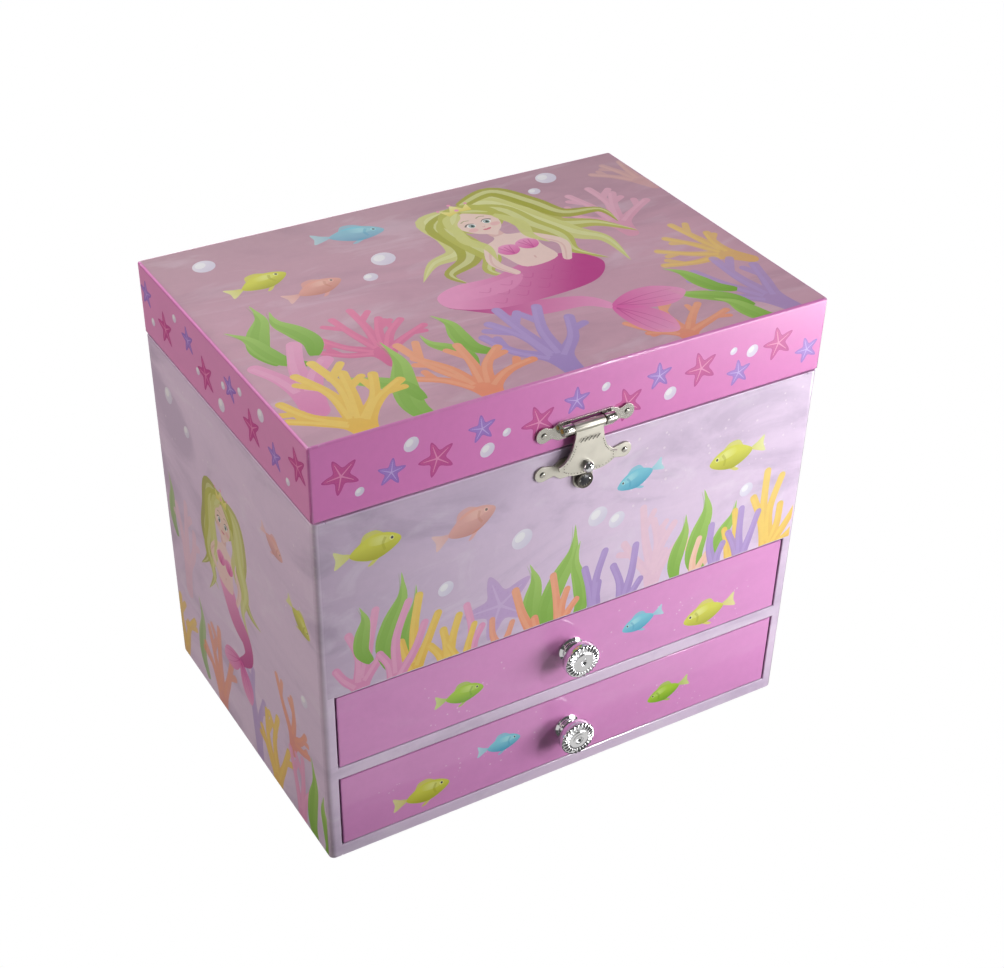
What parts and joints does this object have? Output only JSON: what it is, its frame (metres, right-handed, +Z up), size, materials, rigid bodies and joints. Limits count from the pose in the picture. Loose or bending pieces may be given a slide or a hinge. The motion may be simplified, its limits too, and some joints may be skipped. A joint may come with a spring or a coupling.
{
  "type": "musical jewellery box",
  "caption": "Paper-covered musical jewellery box with a hinged mirror lid, stamped hasp, stacked drawers with chrome knobs, and a wind-up movement that turns a small dancer.",
  "frame": {"origin": "middle of the footprint on the underside of the base", "axes": "+Z up, -Y the front with the drawers and hasp, +X to the right seen from the front"},
  "size_m": [0.195, 0.1604, 0.173],
  "materials": {
    "case_paper": "satin laminated print",
    "lid_paper": "satin laminated print",
    "drawer_paper": "satin laminated print",
    "inner_paper": "matte",
    "felt": "flocked",
    "satin": "satin",
    "nickel": "bright nickel plate",
    "chrome": "polished",
    "steel": "ground",
    "brass": "bright",
    "bed_metal": "die-cast, lightly machined",
    "glass": "silvered",
    "table_plastic": "glossy",
    "figure_plastic": "painted",
    "tulle": "net"
  },
  "bodies": {
    "case": {"base_board": "case_paper", "left_side": "case_paper", "right_side": "case_paper", "back_board": "case_paper", "front_panel": "case_paper", "drawer_shelf": "case_paper", "tray_floor": "inner_paper", "tray_dividers": "inner_paper", "tray_pads": "felt", "ring_cushions": "satin", "stage_walls": "inner_paper", "stage_deck": "inner_paper", "hinge_lower_leaves": "brass", "hinge_pins": "brass", "catch_plate": "nickel", "catch_nails": "nickel", "catch_stud": "nickel", "movement_bed": "bed_metal", "movement_screws": "steel", "comb": "steel"},
    "lid": {"lid_top": "lid_paper", "lid_front_rail": "lid_paper", "lid_back_rail": "lid_paper", "lid_left_rail": "lid_paper", "lid_right_rail": "lid_paper", "lid_lining": "inner_paper", "lid_mirror": "glass", "mirror_frame": "inner_paper", "lid_stop_block": "inner_paper", "hinge_upper_leaves": "brass", "hasp_plate": "nickel", "hasp_nails": "nickel", "hasp_pin": "brass"},
    "hasp_leaf": {"hasp_leaf": "nickel", "hasp_ball": "nickel"},
    "upper_drawer": {"upper_drawer_front": "drawer_paper", "upper_drawer_walls": "inner_paper", "upper_drawer_bottom": "inner_paper", "upper_drawer_pad": "felt", "upper_knob_rose": "chrome", "upper_knob": "chrome"},
    "lower_drawer": {"lower_drawer_front": "drawer_paper", "lower_drawer_walls": "inner_paper", "lower_drawer_bottom": "inner_paper", "lower_drawer_pad": "felt", "lower_knob_rose": "chrome", "lower_knob": "chrome"},
    "key": {"key_shaft": "steel", "winding_key": "nickel"},
    "barrel": {"spring_barrel": "brass", "mainspring": "steel"},
    "cylinder": {"pin_cylinder": "brass", "cylinder_arbor": "steel"},
    "governor": {"governor_fan": "steel"},
    "figurine": {"figurine_shaft": "steel", "turntable": "table_plastic", "figurine_spring": "steel", "dancer": "figure_plastic", "dancer_skirt": "tulle"},
    "stop_rod": {"stop_rod": "steel"}
  },
  "joints": [
    {"name": "lid_hinge", "type": "hinge", "parent": "case", "child": "lid", "pos_m": [0, 0.0703, 0.1453], "axis": [-1, 0, 0], "range_deg": [0, 100]},
    {"name": "hasp_leaf", "type": "hinge", "parent": "lid", "child": "hasp_leaf", "pos_m": [0.0005, -0.0701, 0.1534], "axis": [-1, 0, 0], "range_deg": [0, 110]},
    {"name": "upper_drawer_slide", "type": "slide", "parent": "case", "child": "upper_drawer", "axis": [0, -1, 0], "range_m": [0, 0.1]},
    {"name": "lower_drawer_slide", "type": "slide", "parent": "case", "child": "lower_drawer", "axis": [0, -1, 0], "range_m": [0, 0.1]},
    {"name": "key_turn", "type": "hinge", "parent": "case", "child": "key", "pos_m": [0.055, 0.072, 0.098], "axis": [0, 1, 0], "continuous": true},
    {"name": "barrel_spin", "type": "hinge", "parent": "case", "child": "barrel", "pos_m": [0.055, 0.056, 0.098], "axis": [0, 1, 0], "continuous": true},
    {"name": "cylinder_spin", "type": "hinge", "parent": "case", "child": "cylinder", "pos_m": [0.033, 0.0483, 0.098], "axis": [1, 0, 0], "continuous": true},
    {"name": "governor_spin", "type": "hinge", "parent": "case", "child": "governor", "pos_m": [0.016, 0.0483, 0.107], "axis": [1, 0, 0], "continuous": true},
    {"name": "figurine_spin", "type": "hinge", "parent": "case", "child": "figurine", "pos_m": [0.055, 0.0483, 0.114], "axis": [0, 0, 1], "continuous": true},
    {"name": "stop_rod_slide", "type": "slide", "parent": "case", "child": "stop_rod", "axis": [0, 0, 1], "range_m": [0, 0.006]}
  ],
  "couplings": [
    {"joint": "cylinder_spin", "follows": "barrel_spin", "ratio": 3},
    {"joint": "governor_spin", "follows": "barrel_spin", "ratio": -6},
    {"joint": "figurine_spin", "follows": "barrel_spin", "ratio": -3},
    {"joint": "stop_rod_slide", "follows": "lid_hinge", "m_per_rad": 0.0034}
  ]
}
